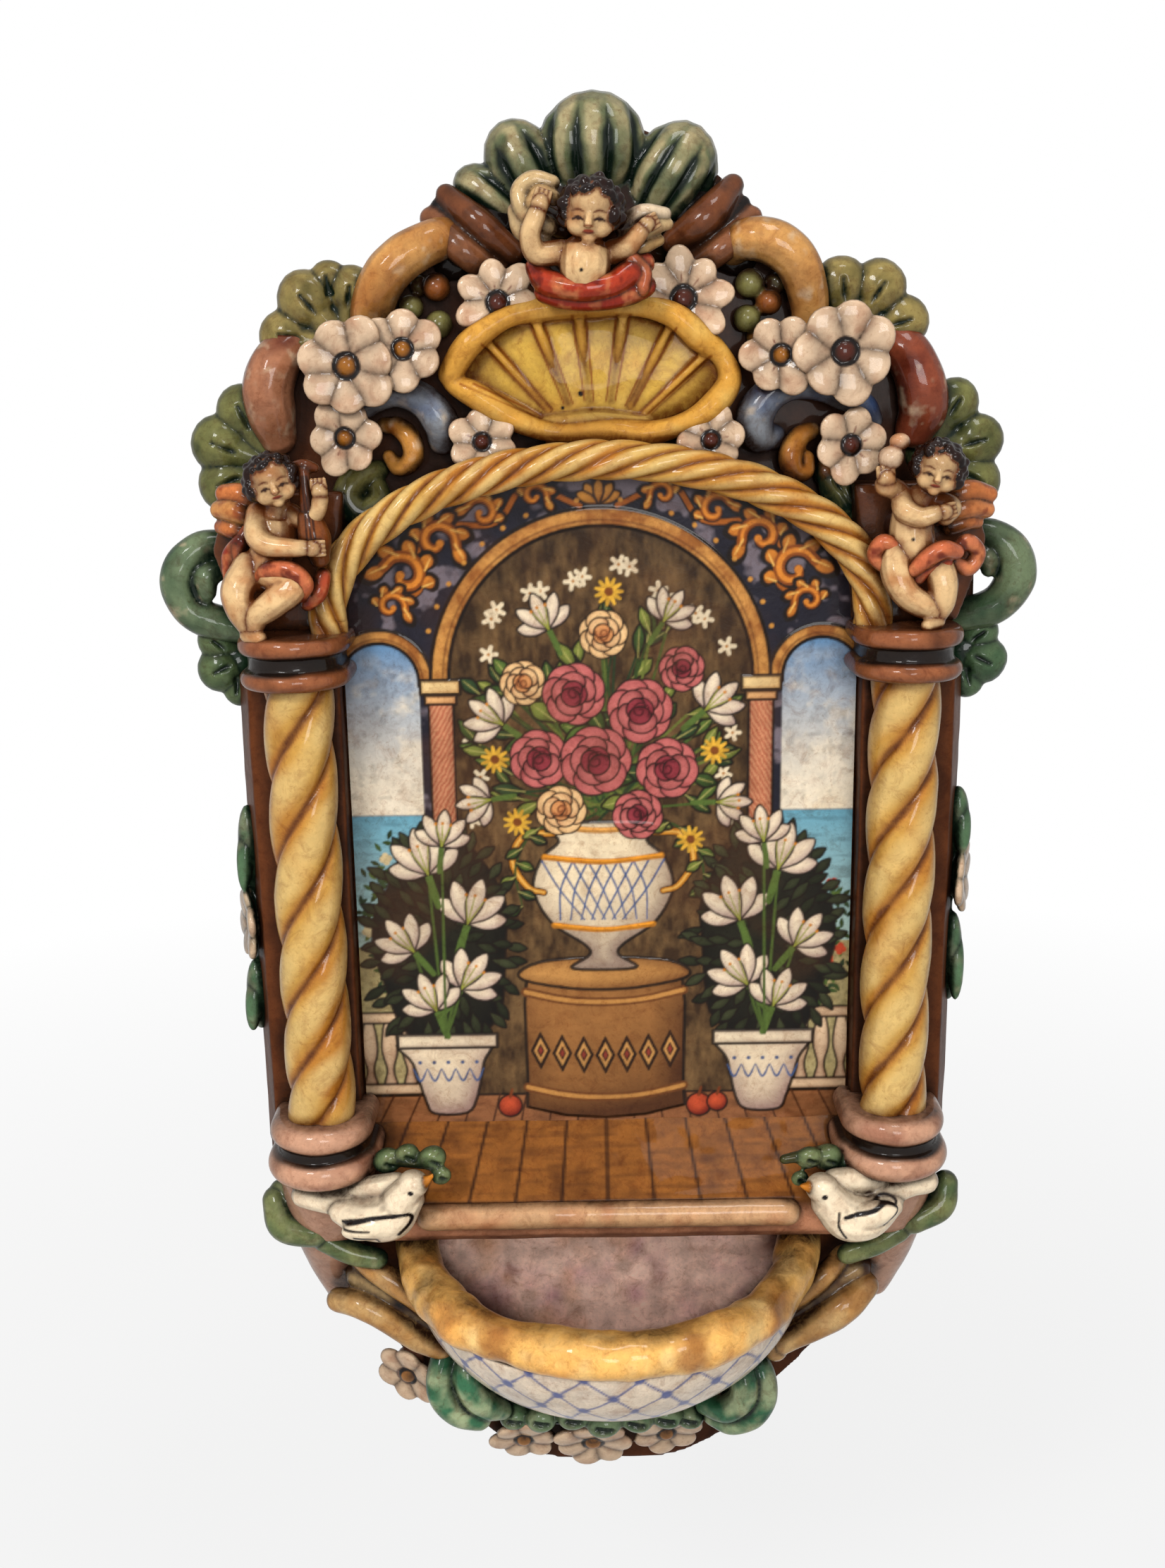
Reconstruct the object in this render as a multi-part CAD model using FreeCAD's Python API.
"""Wall-hung holy water stoup in hand-built majolica.

Frame: X to the right, Y into the wall, Z up, millimetres. The back of the wall plate lies in the
plane Y = 0 and the origin is on that plane, on the centre line, at about half the height. Helper
functions take a depth, measured from the wall towards the viewer, so that Y = -depth.

The stoup is built as a potter builds it: slabs first, then coils and turned mouldings, then sprigged
figures, flowers and leaves. Each new piece is bedded on the pieces that are already there.
"""
import FreeCAD
import Part
import math
import os

from FreeCAD import Vector

# ---------------------------------------------------------------- driving dimensions, millimetres
# Wall plate
PLATE_T = 12.0
PLATE_HALF_W = 122.0
PLATE_TOP_Z = 232.0
PLATE_FOOT_Z = -250.0
SHOULDER_HALF_W = 60.0
SHOULDER_Z = 190.0
SHOULDER_BULGE = 20.0
FLANK_TOP_Z = 50.0
FLANK_FOOT_Z = -120.0
TOE_HALF_W = 58.0
TOE_Z = -222.0
TOE_BULGE = 9.0
HANG_HOLE_DIA = 7.0
HANG_HOLE_DEPTH = 8.0
HANG_HOLE_PITCH = 80.0
HANG_HOLE_Z = 150.0

# Niche: painted panel, side jambs, sloping floor
PANEL_T = 8.0
NICHE_HALF_W = 86.0
FLOOR_Z = -104.0
JAMB_T = 16.0
JAMB_SPLAY = 6.0
LEDGE_REACH = 22.0
LEDGE_DROP = 20.5
LEDGE_THICK = 12.5
LEDGE_NECK = 4.0
BEAD_R = 4.7
BEAD_HALF_L = 62.0

# Columns, bases, capitals
COLUMN_X = 98.0
COLUMN_R = 11.3
COLUMN_GROOVE = 2.4
COLUMN_PITCH = 81.0
COLUMN_BED = 1.3
SHAFT_FOOT_Z = -92.0
SHAFT_TOP_Z = 58.0
STRANDS = 3
CAPITAL_R = 17.5
CAPITAL_H = 16.0
BASE_R = 19.0
BASE_H = 21.0
NECKING = 3.0

# Rope arch and the moulding that carries it
ARCH_HALF_W = 87.5
ARCH_RISE = 48.0
ARCH_STILT = 5.0
ROPE_R = 5.8
ROPE_GROOVE = 1.4
ROPE_PITCH = 45.0
ROPE_BED = 0.8
MOULDING_T = 9.0
MOULDING_W = 9.0

# Water basin
BOWL_R = 69.0
BOWL_DEPTH = 53.0
BOWL_WALL = 6.0
BOWL_FOOT_R = 9.0
BOWL_CENTRE_DEPTH = 20.0
RIM_Z = -154.0
RIM_R = 7.5
RIM_RISE = 14.0
RIM_RISE_FROM = 62.0

# Head of the plate: scallop shell and crest
SCALLOP_HALF_W = 45.0
SCALLOP_H = 41.0
SCALLOP_FOOT_Z = 134.5
SCALLOP_T = 14.0
SCALLOP_RIM_R = 3.6
SCALLOP_FLUTES = 6
SCALLOP_SPREAD = 156.0
CREST_ROOT_Z = 195.0
CREST_REACH = 44.0
CREST_T = 14.5
CREST_LOBES = ((0.0, 15.5, 4), (-36.0, 10.5, 3), (-62.0, 10.0, 3), (38.0, 14.5, 4))   # turn, half width, ribs
COLLAR_T = 14.0
COLLAR_HALF_W = 9.0
RIB_DIP = 0.12          # depth of the crease between two ribs, as a share of the lobe
LOBE_STATIONS = ((0.0, 0.5), (0.3, 0.84), (0.6, 1.0), (0.85, 0.82), (1.0, 0.45))   # place, fullness

# Sprigged ornament
SCROLL_R = 7.0
TENDRIL_R = 4.8
LEAF_T = 9.0
LEAF_HALF_W = 8.5
CURL_HALF_W = 9.5
PETALS = 6
GARLAND_FLOWER_R = 10.0
GARLAND_Z = -24.0
HEAD_R = 8.6
LIMB_R = 4.2
DOVE_BODY_R = 11.0
DOVE_HEAD_R = 6.2
PUTTO_SEAT_H = 26.0

# ------------------------------------------------------------------------------- derived places
PANEL_FRONT = PLATE_T + PANEL_T
JAMB_FRONT = PLATE_T + JAMB_T
COLUMN_DEPTH = JAMB_FRONT + COLUMN_R - COLUMN_BED
CAPITAL_TOP_Z = SHAFT_TOP_Z + CAPITAL_H
BASE_FOOT_Z = SHAFT_FOOT_Z - BASE_H
SPRING_Z = CAPITAL_TOP_Z + ARCH_STILT
ARCH_TOP_Z = SPRING_Z + ARCH_RISE
MOULDING_FRONT = PANEL_FRONT + MOULDING_T
ROPE_DEPTH = MOULDING_FRONT + ROPE_R - ROPE_BED
LEDGE_FRONT = PANEL_FRONT + LEDGE_REACH
LEDGE_TOP_Z = FLOOR_Z - LEDGE_DROP
LEDGE_FOOT_Z = LEDGE_TOP_Z - LEDGE_THICK - LEDGE_NECK
BOWL_FOOT_Z = RIM_Z - BOWL_DEPTH
SCALLOP_FRONT = PANEL_FRONT + SCALLOP_T

CRUMB = 8.0     # cubic millimetres: trimmings smaller than this are wiped away,
SMALLEST_SHARE = 0.06   # and so are those that are a smaller share of their lump than this
SIDES = (("left", -1), ("right", 1))
TIP_SHARE = 0.4         # blunt tip of a rolled lump, as a share of its radius
OUT_DIR = "parts"

placed = []     # every solid already on the plate


# ------------------------------------------------------------------------------------- helpers
def at(x, depth, z):
    """Point given by its distance from the wall instead of by Y."""
    return Vector(x, -depth, z)


def joined(shapes):
    """One solid from overlapping lumps of clay."""
    shapes = list(shapes)
    return shapes[0].fuse(shapes[1:]) if len(shapes) > 1 else shapes[0]


def flipped(shape):
    return shape.mirror(Vector(0, 0, 0), Vector(1, 0, 0))


def bead(centre, radius):
    return Part.makeSphere(radius, centre)


def spindle(start, end, radius):
    """A rolled lump of clay from start to end: a barrel with blunt tips."""
    axis = end - start
    half = axis.Length / 2
    tip = radius * TIP_SHARE
    arc = Part.Arc(Vector(-half, tip, 0), Vector(0, radius, 0), Vector(half, tip, 0)).toShape()
    path = [Vector(half, tip, 0), Vector(half, 0, 0), Vector(-half, 0, 0), Vector(-half, tip, 0)]
    edges = [arc] + [Part.makeLine(a, b) for a, b in zip(path, path[1:])]
    lump = Part.Face(Part.Wire(edges)).revolve(Vector(0, 0, 0), Vector(1, 0, 0), 360)
    lump.Placement = FreeCAD.Placement((start + end) * 0.5, FreeCAD.Rotation(Vector(1, 0, 0), axis))
    return lump


def prism(edges, back, front):
    """Slab with the outline drawn in the XZ plane, from one depth to another."""
    face = Part.Face(Part.Wire(edges))
    slab = face.extrude(Vector(0, back - front, 0))
    slab.translate(Vector(0, -back, 0))
    return slab


def outline(points):
    """Closed outline: two-number points are corners, three-number points lie on an arc between."""
    edges = []
    corners = [i for i, p in enumerate(points) if len(p) == 2]
    for here, nxt in zip(corners, corners[1:] + [corners[0] + len(points)]):
        start = points[here]
        end = points[nxt % len(points)]
        a = Vector(start[0], 0, start[1])
        b = Vector(end[0], 0, end[1])
        if nxt - here == 2:
            mid = points[here + 1]
            edges.append(Part.Arc(a, Vector(mid[0], 0, mid[1]), b).toShape())
        else:
            edges.append(Part.makeLine(a, b))
    return edges


def mirrored_outline(right_side):
    """Outline of a symmetric slab from the points of its right side, bottom to top."""
    left_side = [(-p[0],) + tuple(p[1:]) for p in reversed(right_side) if abs(p[0]) > 1e-9]
    return outline(list(right_side) + left_side)


def u_section(centre, along, half_w, back, front):
    """Cross-section of a relief coil: round in front, flat against what carries it."""
    side = Vector(-along.z, 0, along.x).normalize()
    shoulder = front - half_w
    left = centre - side * half_w
    right = centre + side * half_w
    pts = [left + Vector(0, -back, 0), left + Vector(0, -shoulder, 0), centre + Vector(0, -front, 0),
           right + Vector(0, -shoulder, 0), right + Vector(0, -back, 0)]
    arc = Part.Arc(pts[1], pts[2], pts[3]).toShape()
    return Part.Wire([Part.makeLine(pts[0], pts[1]), arc, Part.makeLine(pts[3], pts[4]),
                      Part.makeLine(pts[4], pts[0])])


def relief_coil(points, radii, back, front):
    """A coil laid on the plate along points (x, z), with its own half width at each point."""
    line = [Vector(x, 0, z) for x, z in points]
    sections = []
    for i, point in enumerate(line):
        along = line[min(i + 1, len(line) - 1)] - line[max(i - 1, 0)]
        sections.append(u_section(point, along, radii[i], back, front))
    return Part.makeLoft(sections, True, False)


def ridged_section(centre, along, half_w, back, front, ribs):
    """Cross-section of a ridged lobe: rounded ribs side by side in front, flat at the back."""
    side = Vector(-along.z, 0, along.x).normalize()

    def rim(turn, swell):
        depth = back + (front - back) * swell * math.sin(turn)
        return centre + side * (half_w * swell * math.cos(turn)) + Vector(0, -depth, 0)
    valleys = [math.pi * (1 - k / ribs) for k in range(ribs + 1)]
    edges = [Part.Arc(rim(a, 1 - RIB_DIP), rim((a + b) / 2, 1.0), rim(b, 1 - RIB_DIP)).toShape()
             for a, b in zip(valleys, valleys[1:])]
    return Part.Wire(edges + [Part.makeLine(rim(0, 1 - RIB_DIP), rim(math.pi, 1 - RIB_DIP))])


def ridged_coil(points, half_widths, back, fronts, ribs):
    """A band of ribs laid along points (x, z), with its own half width and front at each point."""
    line = [Vector(x, 0, z) for x, z in points]
    sections = []
    for i, point in enumerate(line):
        along = line[min(i + 1, len(line) - 1)] - line[max(i - 1, 0)]
        sections.append(ridged_section(point, along, half_widths[i], back, fronts[i], ribs))
    return Part.makeLoft(sections, True, False)


def shell_lobe(root, tip, half_w, back, front, ribs):
    """A fat lobe, fullest past its middle and blunt at its tip."""
    points, widths, fronts = [], [], []
    for share, size in LOBE_STATIONS:
        points.append((root[0] + (tip[0] - root[0]) * share, root[1] + (tip[1] - root[1]) * share))
        widths.append(half_w * size)
        fronts.append(back + (front - back) * (1 + size) / 2)
    return ridged_coil(points, widths, back, fronts, ribs)


def tube(points, radii):
    """A free coil through points in space, with its own radius at each point."""
    sections = []
    for i, point in enumerate(points):
        along = points[min(i + 1, len(points) - 1)] - points[max(i - 1, 0)]
        sections.append(Part.Wire([Part.Circle(point, along, radii[i]).toShape()]))
    return Part.makeLoft(sections, True, False)


def limb(points, radius):
    """Arm or leg: rolled lumps that meet at the joints."""
    return joined(spindle(a - (b - a) * 0.15, b + (b - a) * 0.15, radius)
                  for a, b in zip(points, points[1:]))


def leaf(base, tip, half_w, back, front):
    """A pointed leaf pressed flat on its bed, thinner towards the rim."""
    a = Vector(base[0], 0, base[1])
    b = Vector(tip[0], 0, tip[1])
    side = Vector(-(b - a).z, 0, (b - a).x).normalize()
    mid = (a + b) * 0.5

    def almond(scale, depth):
        ends = [mid + (a - mid) * scale, mid + (b - mid) * scale]
        bulge = side * (half_w * scale)
        shift = Vector(0, -depth, 0)
        arcs = [Part.Arc(ends[0] + shift, mid + bulge + shift, ends[1] + shift).toShape(),
                Part.Arc(ends[1] + shift, mid - bulge + shift, ends[0] + shift).toShape()]
        return Part.Wire(arcs)
    return Part.makeLoft([almond(1.0, back), almond(0.72, front)], True, True)


def petal_ring(petals, size, depth):
    """Outline of an open flower: one round lobe per petal."""
    edges = []
    for k in range(petals):
        spots = ((0.62, k - 0.5), (1.0, k), (0.62, k + 0.5))
        ring = [Vector(math.cos(2 * math.pi * turn / petals) * size * r, -depth,
                       math.sin(2 * math.pi * turn / petals) * size * r) for r, turn in spots]
        edges.append(Part.Arc(*ring).toShape())
    return Part.Wire(edges)


def blossom_mould(petals):
    """Open flower of radius one, face towards the viewer: lobed petals round a bead."""
    rings = [petal_ring(petals, 0.94, -0.12), petal_ring(petals, 1.0, 0.06), petal_ring(petals, 0.8, 0.3)]
    return Part.makeLoft(rings, True, True).fuse(bead(Vector(0, -0.3, 0), 0.27))


def blossom(radius, stem, turn):
    """Flower from the mould on a pad that reaches back to its bed at the origin."""
    flower = MOULD.copy()
    flower.scale(radius)
    flower.rotate(Vector(0, 0, 0), Vector(0, 1, 0), turn)
    flower.translate(Vector(0, -stem, 0))
    pad = Part.makeCone(radius * 0.62, radius * 0.5, stem, Vector(0, 0, 0), Vector(0, -1, 0))
    return pad.fuse(flower)


def strand_section(origin, u, v, radius, groove, phase):
    """Section of a coil twisted from round strands: one bulging arc per strand."""
    valley = radius - groove
    edges = []
    for k in range(STRANDS):
        start = phase + 2 * math.pi * k / STRANDS
        spots = ((valley, start), (radius, start + math.pi / STRANDS), (valley, start + 2 * math.pi / STRANDS))
        ring = [origin + u * (r * math.cos(a)) + v * (r * math.sin(a)) for r, a in spots]
        edges.append(Part.Arc(*ring).toShape())
    return Part.Wire(edges)


def turned_front(profile, x, depth, back):
    """Moulding turned round an upright axis in front and carried straight back to its bed."""
    edges = outline(profile)
    face = Part.Face(Part.Wire(edges))
    face.translate(at(x, depth, 0))
    turned = face.revolve(at(x, depth, 0), Vector(0, 0, 1), 360)
    mirrored = face.mirror(at(x, depth, 0), Vector(1, 0, 0))
    straight = joined([face.extrude(Vector(0, depth - back, 0)), mirrored.extrude(Vector(0, depth - back, 0))])
    return turned.fuse(straight).removeSplitter()


def seat(name, shape, envelope=None):
    """Bed a new piece on the pieces already there, keep it and write it out.

    Later pieces are trimmed to the envelope, a plain solid round a twisted one, where there is one.
    """
    kept = []
    for solid in shape.Solids:
        under = [other for other in placed if solid.BoundBox.intersect(other.BoundBox)]
        trimmed = solid.cut(under) if under else solid
        lumps = [s for s in trimmed.Solids if s.Volume > max(CRUMB, SMALLEST_SHARE * trimmed.Volume)]
        kept += lumps
        placed.extend([] if envelope else lumps)
    placed.extend([envelope] if envelope else [])
    piece = kept[0] if len(kept) == 1 else Part.makeCompound(kept)
    piece.exportStep(os.path.join(OUT_DIR, name + ".step"))
    print("%-20s %2d solid(s) %9.0f mm3 valid %s" % (name, len(kept), piece.Volume, piece.isValid()))


# ------------------------------------------------------------------------------ slabs and niche
def back_plate():
    right_side = [(0.0, PLATE_FOOT_Z), (TOE_HALF_W * 0.62, PLATE_FOOT_Z + 6.0, 0), (TOE_HALF_W, TOE_Z),
                  ((TOE_HALF_W + PLATE_HALF_W) / 2 + TOE_BULGE, (TOE_Z + FLANK_FOOT_Z) / 2, 0),
                  (PLATE_HALF_W, FLANK_FOOT_Z), (PLATE_HALF_W, FLANK_TOP_Z),
                  ((SHOULDER_HALF_W + PLATE_HALF_W) / 2 + SHOULDER_BULGE,
                   (SHOULDER_Z + FLANK_TOP_Z) / 2 + SHOULDER_BULGE * 0.9, 0),
                  (SHOULDER_HALF_W, SHOULDER_Z),
                  (SHOULDER_HALF_W * 0.6, (SHOULDER_Z + PLATE_TOP_Z) / 2 + 5.0, 0), (0.0, PLATE_TOP_Z)]
    plate = prism(mirrored_outline(right_side), 0.0, PLATE_T)
    for _, sign in SIDES:
        mouth = at(sign * HANG_HOLE_PITCH / 2, 0.0, HANG_HOLE_Z)
        plate = plate.cut(Part.makeCylinder(HANG_HOLE_DIA / 2, HANG_HOLE_DEPTH, mouth, Vector(0, -1, 0)))
    return plate


def arch_outline(half_w, rise, foot_z):
    """Straight-sided opening with a half-elliptical head that springs at the arch's springing."""
    head = Part.Ellipse(Vector(0, 0, 0), half_w, rise).toShape(0, math.pi)
    head.rotate(Vector(0, 0, 0), Vector(1, 0, 0), 90)
    head.translate(Vector(0, 0, SPRING_Z))
    feet = [Vector(-half_w, 0, foot_z), Vector(half_w, 0, foot_z)]
    springs = [Vector(-half_w, 0, SPRING_Z), Vector(half_w, 0, SPRING_Z)]
    return [head, Part.makeLine(springs[0], feet[0]), Part.makeLine(feet[0], feet[1]),
            Part.makeLine(feet[1], springs[1])]


def picture_panel():
    panel = prism(arch_outline(NICHE_HALF_W, ARCH_RISE, FLOOR_Z), PLATE_T, PANEL_FRONT)
    half = MOULDING_W / 2
    band = prism(arch_outline(ARCH_HALF_W + half, ARCH_RISE + half, CAPITAL_TOP_Z), PLATE_T, MOULDING_FRONT)
    opening = prism(arch_outline(ARCH_HALF_W - half, ARCH_RISE - half, CAPITAL_TOP_Z - 1.0),
                    PLATE_T - 1.0, MOULDING_FRONT + 1.0)
    return panel.fuse(band.cut(opening))


def jamb():
    """Side wall of the niche, splayed outwards towards the plate."""
    plan = [at(NICHE_HALF_W, PLATE_T, 0), at(PLATE_HALF_W, PLATE_T, 0),
            at(PLATE_HALF_W - JAMB_SPLAY, JAMB_FRONT, 0), at(NICHE_HALF_W, JAMB_FRONT, 0)]
    face = Part.Face(Part.makePolygon(plan + [plan[0]]))
    wall = face.extrude(Vector(0, 0, SHAFT_TOP_Z - BASE_FOOT_Z))
    wall.translate(Vector(0, 0, BASE_FOOT_Z))
    return wall


def console():
    """Tapering clay bracket that carries a column base and dies into the plate."""
    top = JAMB_FRONT + 2.0
    points = [at(COLUMN_X, top, BASE_FOOT_Z), at(COLUMN_X + 1, top - 5, BASE_FOOT_Z - 22),
              at(COLUMN_X + 2, top - 12, BASE_FOOT_Z - 45), at(COLUMN_X, PLATE_T, BASE_FOOT_Z - 66)]
    radii = [BASE_R - 1.5, BASE_R - 4, BASE_R - 9, BASE_R - 14]
    rings = [Part.Wire([Part.Circle(p, Vector(0, 0, 1), r).toShape()]) for p, r in zip(points, radii)]
    return Part.makeLoft(rings, True, False)


def floor_ledge():
    """Sloping floor of the niche, thick at its front edge and tucked back under it."""
    half = COLUMN_X - 8.0
    side = [at(-half, PLATE_T, FLOOR_Z), at(-half, PANEL_FRONT, FLOOR_Z), at(-half, LEDGE_FRONT, LEDGE_TOP_Z),
            at(-half, LEDGE_FRONT, LEDGE_TOP_Z - LEDGE_THICK),
            at(-half, LEDGE_FRONT - LEDGE_NECK, LEDGE_FOOT_Z), at(-half, PLATE_T, LEDGE_FOOT_Z)]
    face = Part.Face(Part.makePolygon(side + [side[0]]))
    return face.extrude(Vector(2 * half, 0, 0))


def ledge_bead():
    """Half-round moulding along the front of the floor."""
    z = LEDGE_TOP_Z - BEAD_R
    rod = Part.makeCylinder(BEAD_R, 2 * BEAD_HALF_L, at(-BEAD_HALF_L, LEDGE_FRONT + 1.0, z), Vector(1, 0, 0))
    ends = [bead(at(s * BEAD_HALF_L, LEDGE_FRONT + 1.0, z), BEAD_R) for _, s in SIDES]
    return joined([rod] + ends)


# ------------------------------------------------------------------------------------- columns
def column():
    """Shaft of three fat strands twisted together."""
    steps = int(round(8 * (SHAFT_TOP_Z - SHAFT_FOOT_Z) / COLUMN_PITCH))
    sections = []
    for i in range(steps + 1):
        z = SHAFT_FOOT_Z + (SHAFT_TOP_Z - SHAFT_FOOT_Z) * i / steps
        phase = -2 * math.pi * (z - SHAFT_FOOT_Z) / COLUMN_PITCH
        sections.append(strand_section(at(COLUMN_X, COLUMN_DEPTH, z), Vector(1, 0, 0), Vector(0, 1, 0),
                                       COLUMN_R, COLUMN_GROOVE, phase))
    return Part.makeLoft(sections, True, False)


def capital():
    """Two rolls with a deep dark groove between them."""
    roll = CAPITAL_H / 3
    profile = [(0.0, SHAFT_TOP_Z), (CAPITAL_R - 2, SHAFT_TOP_Z),
               (CAPITAL_R, SHAFT_TOP_Z + roll / 2, 0), (CAPITAL_R - 2, SHAFT_TOP_Z + roll),
               (CAPITAL_R - NECKING, SHAFT_TOP_Z + roll), (CAPITAL_R - NECKING, CAPITAL_TOP_Z - roll),
               (CAPITAL_R - 1, CAPITAL_TOP_Z - roll), (CAPITAL_R, CAPITAL_TOP_Z - roll / 2, 0),
               (CAPITAL_R - 1, CAPITAL_TOP_Z), (0.0, CAPITAL_TOP_Z)]
    return turned_front(profile, COLUMN_X, COLUMN_DEPTH, JAMB_FRONT - 6.0)


def column_base():
    """Thick lower roll, dark groove, smaller upper roll."""
    lower = BASE_H * 0.42
    upper = BASE_H * 0.36
    top = SHAFT_FOOT_Z
    profile = [(0.0, BASE_FOOT_Z), (BASE_R - 3, BASE_FOOT_Z), (BASE_R, BASE_FOOT_Z + lower / 2, 0),
               (BASE_R - 2, BASE_FOOT_Z + lower), (BASE_R - NECKING - 1, BASE_FOOT_Z + lower),
               (BASE_R - NECKING - 1, top - upper), (BASE_R - 3, top - upper),
               (BASE_R - 1.5, top - upper / 2, 0), (BASE_R - 4, top), (0.0, top)]
    return turned_front(profile, COLUMN_X, COLUMN_DEPTH, JAMB_FRONT - 6.0)


def column_envelope():
    return Part.makeCylinder(COLUMN_R, SHAFT_TOP_Z - SHAFT_FOOT_Z, at(COLUMN_X, COLUMN_DEPTH, SHAFT_FOOT_Z))


def rope_envelope():
    """Plain band that the twisted coil fills."""
    outer = prism(arch_outline(ARCH_HALF_W + ROPE_R, ARCH_RISE + ROPE_R, CAPITAL_TOP_Z),
                  MOULDING_FRONT, ROPE_DEPTH + ROPE_R)
    inner = prism(arch_outline(ARCH_HALF_W - ROPE_R, ARCH_RISE - ROPE_R, CAPITAL_TOP_Z - 1.0),
                  MOULDING_FRONT - 1.0, ROPE_DEPTH + ROPE_R + 1.0)
    return outer.cut(inner)


def rope_arch():
    """Coil of three thin strands along a stilted half-ellipse, bedded on the moulding."""
    head = math.pi * (3 * (ARCH_HALF_W + ARCH_RISE)
                      - math.sqrt((3 * ARCH_HALF_W + ARCH_RISE) * (ARCH_HALF_W + 3 * ARCH_RISE))) / 2
    steps = int(round(8 * head / ROPE_PITCH))
    path = [at(-ARCH_HALF_W, ROPE_DEPTH, CAPITAL_TOP_Z)]
    for i in range(steps + 1):
        angle = math.pi * i / steps
        path.append(at(-ARCH_HALF_W * math.cos(angle), ROPE_DEPTH, SPRING_Z + ARCH_RISE * math.sin(angle)))
    path.append(at(ARCH_HALF_W, ROPE_DEPTH, CAPITAL_TOP_Z))
    forward = Vector(0, -1, 0)
    run = 0.0
    sections = []
    for i, point in enumerate(path):
        along = path[min(i + 1, len(path) - 1)] - path[max(i - 1, 0)]
        if i:
            run += (point - path[i - 1]).Length
        across = along.normalize().cross(forward)
        sections.append(strand_section(point, forward, across, ROPE_R, ROPE_GROOVE,
                                       -2 * math.pi * run / ROPE_PITCH))
    return Part.makeLoft(sections, True, False)


# --------------------------------------------------------------------------------------- basin
def rim_height(depth):
    """The rim is level in front and lifts towards the wall."""
    lift = max(0.0, RIM_RISE_FROM - depth) / (RIM_RISE_FROM - PLATE_T)
    return RIM_Z + RIM_RISE * lift * lift


def basin_rim():
    reach = math.asin((BOWL_CENTRE_DEPTH - PLATE_T + 3.0) / BOWL_R)
    count = 13
    points = []
    for i in range(count):
        angle = -reach + (math.pi + 2 * reach) * i / (count - 1)
        depth = BOWL_CENTRE_DEPTH + BOWL_R * math.sin(angle)
        points.append(at(BOWL_R * math.cos(angle), depth, rim_height(depth)))
    return tube(points, [RIM_R] * count)


def bowl_cup(radius, depth):
    """Half-ellipsoid on a small flat foot, with a straight collar above the rim line."""
    edge = math.asin(BOWL_FOOT_R / radius)
    arc = Part.Ellipse(Vector(0, 0, 0), radius, depth).toShape(edge - math.pi / 2, 0)
    arc.rotate(Vector(0, 0, 0), Vector(1, 0, 0), 90)
    arc.translate(Vector(0, 0, RIM_Z))
    foot_z = RIM_Z - depth * math.cos(edge)
    top = RIM_Z + RIM_RISE + RIM_R
    path = [Vector(radius, 0, RIM_Z), Vector(radius, 0, top), Vector(0, 0, top), Vector(0, 0, foot_z),
            Vector(BOWL_FOOT_R, 0, foot_z)]
    edges = [arc] + [Part.makeLine(a, b) for a, b in zip(path, path[1:])]
    cup = Part.Face(Part.Wire(Part.__sortEdges__(edges))).revolve(Vector(0, 0, 0), Vector(0, 0, 1), 360)
    cup.translate(at(0, BOWL_CENTRE_DEPTH, 0))
    return cup


def basin_bowl():
    """Thin-walled half bowl against the plate; its lip follows the rim coil."""
    shell = bowl_cup(BOWL_R + BOWL_WALL / 2, BOWL_DEPTH).cut(
        bowl_cup(BOWL_R - BOWL_WALL / 2, BOWL_DEPTH - BOWL_WALL))
    wide = BOWL_R * 2
    line = [at(-wide, d, rim_height(d)) for d in (BOWL_R * 2, RIM_RISE_FROM, 45.0, 30.0, 0.0, -BOWL_R)]
    above = line + [at(-wide, -BOWL_R, 0), at(-wide, BOWL_R * 2, 0)]
    lid = Part.Face(Part.makePolygon(above + [above[0]])).extrude(Vector(2 * wide, 0, 0))
    behind = Part.makeBox(2 * wide, 2 * wide, 2 * wide, Vector(-wide, -PLATE_T, BOWL_FOOT_Z - wide / 2))
    return shell.cut([lid, behind])


# ------------------------------------------------------------------------- head of the plate
def scallop_shell():
    """Wide scallop with a raised rim; each flute is a cone pressed into a shallow dish."""
    centre_z = SCALLOP_FOOT_Z + SCALLOP_H * 0.42
    half_h = SCALLOP_H * 0.58

    def oval(inset):
        rim = Part.Ellipse(Vector(0, 0, 0), SCALLOP_HALF_W - inset, half_h - inset).toShape()
        rim.rotate(Vector(0, 0, 0), Vector(1, 0, 0), 90)
        rim.translate(Vector(0, 0, centre_z))
        return [rim]
    body = prism(oval(0.0), PLATE_T, SCALLOP_FRONT)
    body = body.makeFillet(SCALLOP_RIM_R, [e for e in body.Edges if abs(e.BoundBox.YMin + SCALLOP_FRONT) < 0.01
                                           and abs(e.BoundBox.YMax + SCALLOP_FRONT) < 0.01])
    dish = prism(oval(2 * SCALLOP_RIM_R), SCALLOP_FRONT - SCALLOP_RIM_R, SCALLOP_FRONT + 1.0)
    hinge = at(0, SCALLOP_FRONT - SCALLOP_RIM_R, SCALLOP_FOOT_Z + 2.0 * SCALLOP_RIM_R)
    flutes = []
    for k in range(SCALLOP_FLUTES):
        angle = math.radians(90 + SCALLOP_SPREAD * ((k + 0.5) / SCALLOP_FLUTES - 0.5))
        out = Vector(math.cos(angle) * SCALLOP_HALF_W, 0, math.sin(angle) * SCALLOP_H) * 0.74
        width = math.radians(SCALLOP_SPREAD / SCALLOP_FLUTES) * out.Length * 0.43
        flutes.append(Part.makeCone(1.0, width, out.Length, hinge, out))
    foot = prism(outline([(-9.0, ARCH_TOP_Z), (9.0, ARCH_TOP_Z), (14.0, SCALLOP_FOOT_Z + 4),
                          (-14.0, SCALLOP_FOOT_Z + 4)]), PLATE_T, SCALLOP_FRONT - 4.0)
    return body.cut([dish] + flutes).fuse(foot)


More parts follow.
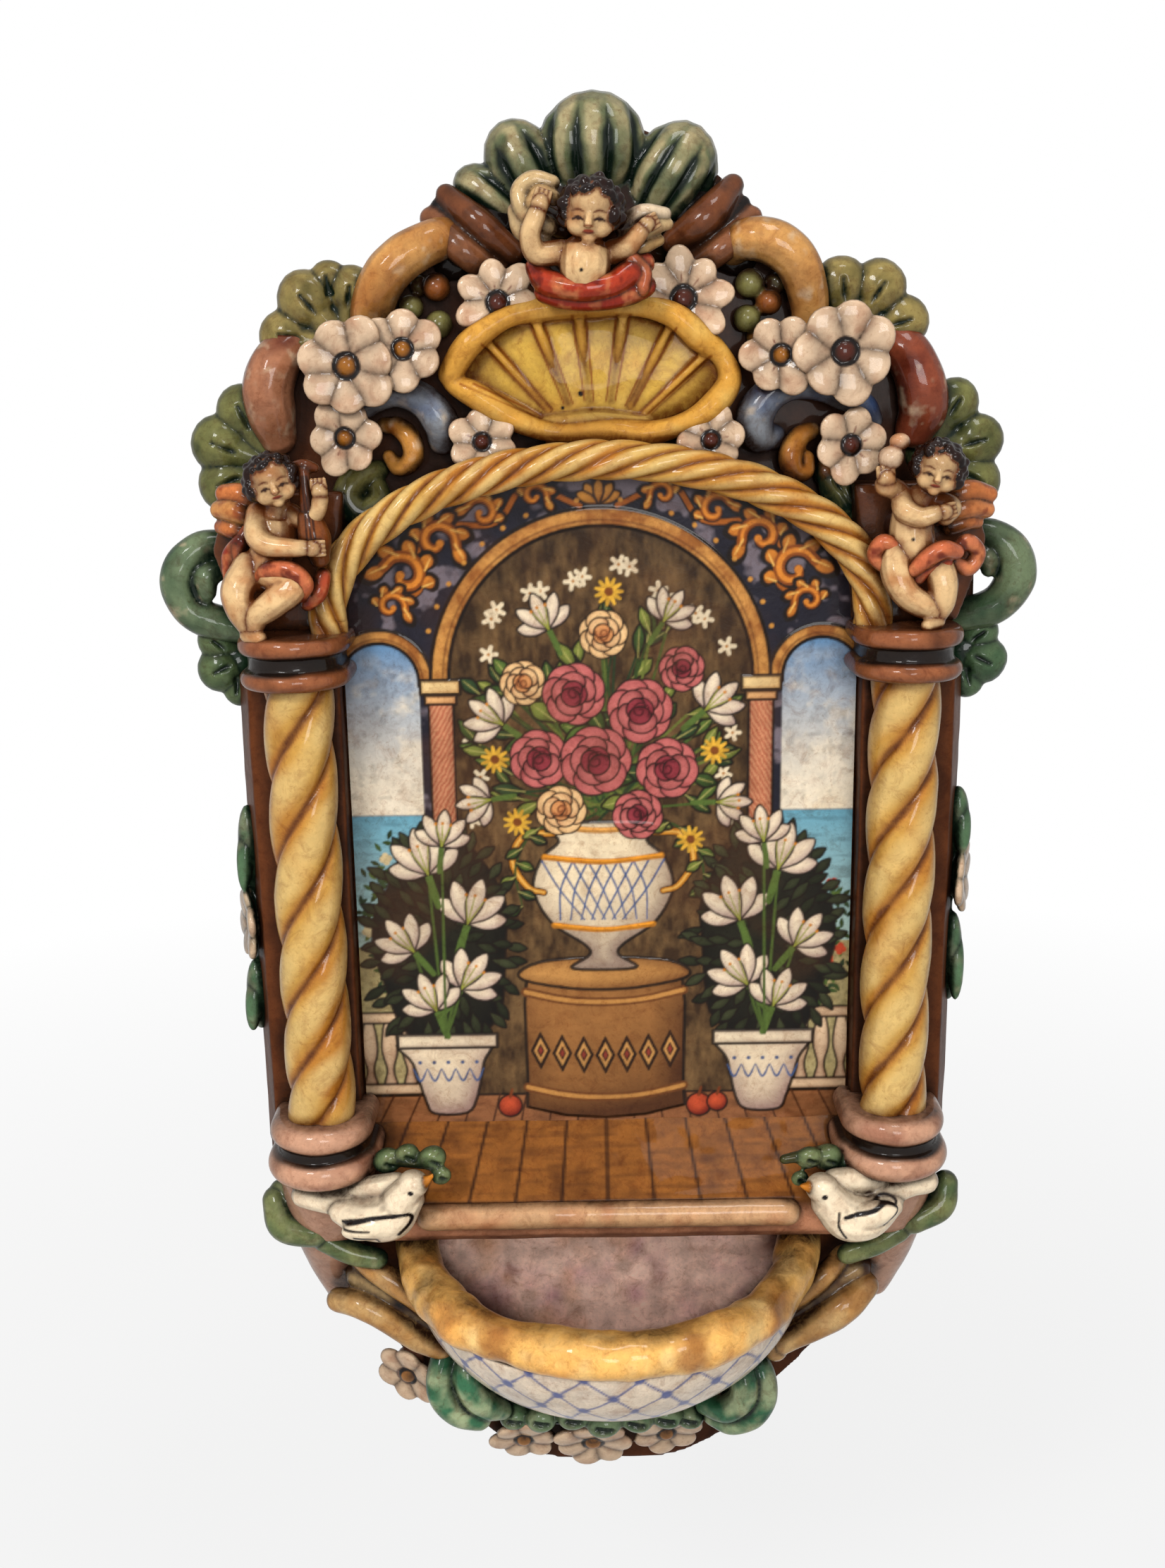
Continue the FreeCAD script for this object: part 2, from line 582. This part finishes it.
def crest_shell():
    """Fan of ridged lobes that crowns the plate: one in the middle, two on its left, a broad one on its right."""
    lobes = []
    for angle, half_w, ribs in CREST_LOBES:
        turn = math.radians(90 - angle)
        reach = [CREST_REACH * share for share in (0.22, 1.0)]
        ends = [(r * math.cos(turn), CREST_ROOT_Z + r * math.sin(turn)) for r in reach]
        lobes.append(shell_lobe(ends[0], ends[1], half_w, PLATE_T - 4.0, PLATE_T + CREST_T, ribs))
    boss = Part.makeCylinder(CREST_REACH * 0.62, 6.0, at(0, PLATE_T, CREST_ROOT_Z), Vector(0, -1, 0))
    return joined([boss] + lobes)


def crest_collar():
    """Clasp of two fat ribs between the crest and the shoulder scroll."""
    points = [(49.5, 206.5), (39.0, 194.5), (27.0, 186.5)]
    front = PLATE_T + COLLAR_T
    widths = [COLLAR_HALF_W * k for k in (0.85, 1.0, 0.9)]
    return ridged_coil(points, widths, PLATE_T - 4.0, [front - 3.0, front, front - 2.0], 2)


# --------------------------------------------------------------------------- scrolls and leaves
def gold_scroll():
    """Fat coil that rolls over the shoulder."""
    points = [(45.0, 192.0), (57.0, 189.0), (65.0, 180.0), (67.0, 169.0), (63.0, 160.0)]
    return relief_coil(points, [SCROLL_R * k for k in (0.95, 1.0, 0.95, 0.8, 0.55)], PLATE_T - 3.0,
                       PLATE_T + 2 * SCROLL_R)


def mauve_scroll():
    """Coil down the outer shoulder."""
    points = [(92.0, 166.0), (101.0, 158.0), (105.0, 147.0), (104.0, 135.0)]
    return relief_coil(points, [SCROLL_R * k for k in (0.8, 1.1, 1.15, 1.0)], PLATE_T - 4.0,
                       PLATE_T + 2 * SCROLL_R + 2.0)


def blue_scroll():
    """Tendril that curls down beside the scallop."""
    points = [(82.0, 146.0), (70.0, 150.0), (58.0, 148.0), (51.0, 140.0), (50.0, 132.0)]
    return relief_coil(points, [TENDRIL_R * k for k in (1.0, 1.05, 1.1, 1.05, 0.8)], PLATE_T,
                       PLATE_T + 2 * SCROLL_R + 2.0)


def small_scroll():
    points = [(58.0, 137.0), (64.0, 135.0), (67.0, 129.0), (64.0, 124.0), (60.0, 125.0)]
    return relief_coil(points, [TENDRIL_R * k for k in (0.8, 0.9, 0.9, 0.75, 0.6)], PLATE_T,
                       PLATE_T + 2 * SCROLL_R)


def side_curl():
    """Horn-shaped curl that stands out from the edge of the plate."""
    x = PLATE_HALF_W
    points = [(x - 4, 101.0), (x + 11, 96.0), (x + 17, 86.0), (x + 9, 77.0), (x - 3, 76.0)]
    radii = [TENDRIL_R * k for k in (1.0, 1.25, 1.35, 1.2, 0.9)]
    return relief_coil(points, radii, PLATE_T * 0.4, PLATE_T + TENDRIL_R * 1.9)


def lobed_leaf(root, tips, half_w, back):
    """Fleshy leaf of round lobes, each with a crease down its middle."""
    return joined(shell_lobe(root, tip, half_w, back, PLATE_T + LEAF_T, 2) for tip in tips)


def upper_leaf():
    tips = ((77.0, 187.0), (93.5, 185.0), (106.0, 169.0))
    return lobed_leaf((81.0, 164.0), tips, LEAF_HALF_W, PLATE_T - 4.0)


def side_leaf():
    tips = ((118.5, 150.0), (131.0, 133.0), (131.0, 114.0))
    return lobed_leaf((107.0, 127.0), tips, LEAF_HALF_W, PLATE_T - 6.0)


def olive_leaf():
    return leaf((71.0, 125.0), (87.0, 105.0), LEAF_T * 0.8, PLATE_T, MOULDING_FRONT)


def hanging_leaf():
    x = PLATE_HALF_W
    front = PLATE_T + LEAF_T * 0.5
    return joined(shell_lobe((x - 1, z), (x + reach, tip), LEAF_HALF_W * 0.8, PLATE_T * 0.4, front, 2)
                  for z, reach, tip in ((66.0, 11.5, 70.0), (62.0, 14.0, 55.5), (60.0, 4.0, 46.0)))


def garland():
    """Sideways blossom between two hanging leaves on the outer face of the jamb."""
    x = PLATE_HALF_W - JAMB_SPLAY
    mid = PLATE_T + JAMB_T / 2 - 2.0
    flower = blossom(GARLAND_FLOWER_R, JAMB_SPLAY, 10.0)
    flower.rotate(Vector(0, 0, 0), Vector(0, 0, 1), 90)
    flower.translate(at(x, mid, GARLAND_Z))
    leaves = [spindle(at(x + 2, mid, GARLAND_Z + a), at(x + 4, mid + 1, GARLAND_Z + b), GARLAND_FLOWER_R * 0.6)
              for a, b in ((8.0, 38.0), (-44.0, -8.0))]
    return Part.makeCompound([flower] + leaves)


# ----------------------------------------------------------------------------------- blossoms
# Side, distance from the centre line, height, radius, face depth beyond the plate
TOP_BLOSSOMS = ((-1, 77, 157, 14.5, 24), (-1, 59, 161, 12, 22), (-1, 79, 135, 11.5, 22), (-1, 36.5, 133, 10, 20),
                (-1, 31, 176, 12.5, 18), (1, 76, 159, 15, 24), (1, 57, 158, 12, 22), (1, 79, 131, 11, 22),
                (1, 36, 132.5, 10, 20), (1, 28, 176, 13.5, 18))
FOOT_BLOSSOMS = ((-1, 33, -238, 9, 8), (1, 22, -236, 9, 8), (-1, 5, -240, 8.5, 8), (-1, 76, -209, 9, 6))


def blossoms(places):
    flowers = []
    for i, (side, x, z, radius, stem) in enumerate(places):
        flower = blossom(radius, stem, 13.0 * i + 5.0)
        flower.translate(at(side * x, PLATE_T, z))
        flowers.append(flower)
    return Part.makeCompound(flowers)


def berries():
    """Small fruit in the crook of each shoulder scroll."""
    lumps = []
    for _, sign in SIDES:
        for x, z in ((51.0, 176.0), (54.0, 168.0), (46.0, 166.0)):
            centre = at(sign * x, PLATE_T + 5.0, z)
            lumps.append(joined([bead(centre, 4.2), Part.makeCylinder(2.6, 5.0, at(sign * x, PLATE_T, z),
                                                                     Vector(0, -1, 0))]))
    return Part.makeCompound(lumps)


# -------------------------------------------------------------------------------------- figures
def putto_plinth():
    """Pier above the capital, leaning back to the plate, that the cherub sits on."""
    top = CAPITAL_TOP_Z + PUTTO_SEAT_H
    outer = PLATE_HALF_W + 2.0
    pier = prism(outline([(ARCH_HALF_W - 2, CAPITAL_TOP_Z), (COLUMN_X + CAPITAL_R, CAPITAL_TOP_Z), (outer, top),
                          (outer - 6, top + 18), (ARCH_HALF_W - 6, top + 18)]), PLATE_T, JAMB_FRONT + 2.0)
    return pier


def putto(centre, lean, seated):
    """Small winged child: head, trunk and four limbs. centre is the middle of the chest."""
    x, depth, z = centre
    parts = [bead(at(x + lean, depth + 2, z + 15), HEAD_R),
             spindle(at(x + lean * 0.4, depth, z + 9), at(x, depth, z - 12), HEAD_R * 0.95)]
    for sign in (-1, 1):
        shoulder = at(x + sign * 7, depth, z + 5)
        elbow = at(x + sign * 12, depth + 3, z - 3)
        hand = at(x + sign * 7 + lean, depth + 7, z + (2 if seated else 8))
        parts.append(limb([shoulder, elbow, hand], LIMB_R * 0.82))
        if seated:
            hip = at(x + sign * 4, depth, z - 11)
            knee = at(x + sign * 8, depth + 7, z - 17)
            foot = at(x + sign * 6 - lean, depth + 6, z - 30)
            parts.append(limb([hip, knee, foot], LIMB_R))
    parts.append(spindle(at(x, PLATE_T, z - 2), at(x, depth + 2, z), HEAD_R * 0.8))
    return joined(parts)


def putto_wings():
    """A pair of short wings behind each cherub."""
    lumps = []
    for cx, depth, z in PUTTO_CHESTS.values():
        for sign in (-1, 1):
            root = at(cx + sign * 4, depth - 6, z + 3)
            lumps.append(joined([spindle(root, at(cx + sign * 19, depth - 7, z + 13), 4.5),
                                 spindle(root, at(cx + sign * 18, depth - 7, z + 5), 4.0)]))
    return Part.makeCompound(lumps)


def putto_drapes():
    """Cloth round each cherub's waist."""
    lumps = []
    for cx, depth, z in PUTTO_CHESTS.values():
        lumps.append(joined([spindle(at(cx - 14, depth - 1, z - 9), at(cx + 4, depth + 2, z - 13), 5.5),
                             spindle(at(cx - 4, depth + 2, z - 13), at(cx + 14, depth - 1, z - 9), 5.5)]))
    return Part.makeCompound(lumps)


def lute():
    """Pear-shaped lute across the left cherub's lap."""
    x, depth, z = PUTTO_CHESTS["left"]
    body = spindle(at(x + 14, depth + 3, z - 10), at(x + 16, depth + 5, z + 8), 6.0)
    neck = tube([at(x + 15, depth + 4, z + 4), at(x + 17, depth + 6, z + 20)], [2.2, 1.8])
    return joined([body, neck])


def dove():
    """Resting dove with its beak towards the water."""
    body = spindle(at(100.0, 56.0, -119.0), at(62.0, 55.0, -119.0), DOVE_BODY_R)
    head = bead(at(66.0, 58.0, -109.5), DOVE_HEAD_R)
    neck = spindle(at(64.0, 57.5, -104.0), at(76.0, 55.0, -122.0), DOVE_HEAD_R * 1.1)
    beak = Part.makeCone(2.4, 0.6, 6.0, at(61.5, 60.0, -108.0), Vector(-1, -0.4, 0.25))
    tail = spindle(at(90.0, 54.0, -119.0), at(112.0, 52.0, -117.0), 5.0)
    wing = spindle(at(72.0, 64.0, -119.0), at(98.0, 60.0, -123.0), 4.4)
    pad = spindle(at(80.0, LEDGE_FRONT - 8, -122.0), at(80.0, 60.0, -122.0), 9.0)
    return joined([body, neck, head, beak, tail, wing, pad])


def dove_leaf():
    """Leaves tucked round the dove."""
    back = PLATE_T
    front = JAMB_FRONT + LEAF_T
    return joined([leaf((100.0, -128.0), (127.0, -140.0), LEAF_T, back, front - 6),
                   leaf((84.0, -136.0), (96.0, -156.0), LEAF_T, back, front)])


def bracket_scroll():
    """Banded scroll below the dove, against the flank of the bowl."""
    start = at(97.0, JAMB_FRONT, -160.0)
    end = at(60.0, JAMB_FRONT + 8, -188.0)
    along = (end - start).normalize()
    side = Vector(along.z, 0, -along.x)
    ribs = [spindle(start + side * s, end + side * s, 7.0) for s in (-6.0, 6.0)]
    core = prism(outline([(90.0, -150.0), (100.0, -168.0), (70.0, -192.0), (58.0, -180.0)]),
                 PLATE_T, JAMB_FRONT + 4.0)
    return joined([core] + ribs)


# -------------------------------------------------------------------------- below the basin
def bottom_curls():
    """Green curls of two ribs that turn up on either side below the bowl."""
    coils = []
    for _, sign in SIDES:
        points = [(sign * x, z) for x, z in ((53.0, -188.0), (56.5, -197.0), (55.5, -207.0), (49.0, -215.0),
                                             (40.0, -219.0))]
        fronts = [BOWL_CENTRE_DEPTH + SCROLL_R * k for k in (1.6, 2.4, 2.8, 2.4, 1.2)]
        widths = [CURL_HALF_W * k for k in (0.7, 0.95, 1.0, 0.95, 0.6)]
        coils.append(ridged_coil(points, widths, PLATE_T - 2.0, fronts, 2))
    return Part.makeCompound(coils)


def bottom_leaves():
    """Fleshy leaves between the curls, under the middle of the bowl."""
    tips = ((-2.0, -228.0), (-17.0, -226.5), (14.0, -226.5), (-32.5, -227.0), (29.5, -227.0))
    return Part.makeCompound([shell_lobe((tip[0] * 0.85, -206.0), tip, LEAF_HALF_W * 0.85, PLATE_T,
                                         BOWL_CENTRE_DEPTH + LEAF_T, 2) for tip in tips])


MOULD = blossom_mould(PETALS)
PUTTO_CHESTS = {"centre": (-1.0, SCALLOP_FRONT + 4.0, 187.0),
                "left": (-104.0, COLUMN_DEPTH + 4.0, 107.0),
                "right": (100.0, COLUMN_DEPTH + 4.0, 108.0)}


def pair(name, shape, envelope=None):
    """Seat a piece made for the right side and its mirror image on the left."""
    for side, sign in SIDES:
        if sign < 0:
            seat("%s_%s" % (name, side), flipped(shape), flipped(envelope) if envelope else None)
        else:
            seat("%s_%s" % (name, side), shape, envelope)


def main():
    os.makedirs(OUT_DIR, exist_ok=True)
    seat("back_plate", back_plate())
    seat("picture_panel", picture_panel())
    pair("jamb", jamb())
    pair("column_base", column_base())
    pair("capital", capital())
    pair("column", column(), column_envelope())
    seat("rope_arch", rope_arch(), rope_envelope())
    seat("floor_ledge", floor_ledge())
    seat("ledge_bead", ledge_bead())
    pair("console", console())
    seat("basin_rim", basin_rim())
    seat("basin_bowl", basin_bowl())
    pair("putto_plinth", putto_plinth())
    seat("scallop_shell", scallop_shell())
    pair("crest_collar", crest_collar())
    seat("crest_shell", crest_shell())
    pair("gold_scroll", gold_scroll())
    pair("mauve_scroll", mauve_scroll())
    pair("blue_scroll", blue_scroll())
    pair("small_scroll", small_scroll())
    for name in ("left", "right"):
        lean = 2.0 if name == "left" else -1.0
        seat("putto_" + name, putto(PUTTO_CHESTS[name], lean, True))
    seat("putto_centre", putto(PUTTO_CHESTS["centre"], 0.0, False))
    seat("lute", lute())
    seat("putto_drapes", putto_drapes())
    seat("putto_wings", putto_wings())
    seat("flowers_top", blossoms(TOP_BLOSSOMS))
    seat("berries", berries())
    pair("side_curl", side_curl())
    pair("hanging_leaf", hanging_leaf())
    pair("upper_leaf", upper_leaf())
    pair("side_leaf", side_leaf())
    pair("olive_leaf", olive_leaf())
    pair("garland", garland())
    pair("dove", dove())
    pair("bracket_scroll", bracket_scroll())
    pair("dove_leaf", dove_leaf())
    seat("bottom_curls", bottom_curls())
    seat("bottom_leaves", bottom_leaves())
    seat("bottom_flowers", blossoms(FOOT_BLOSSOMS))


main()
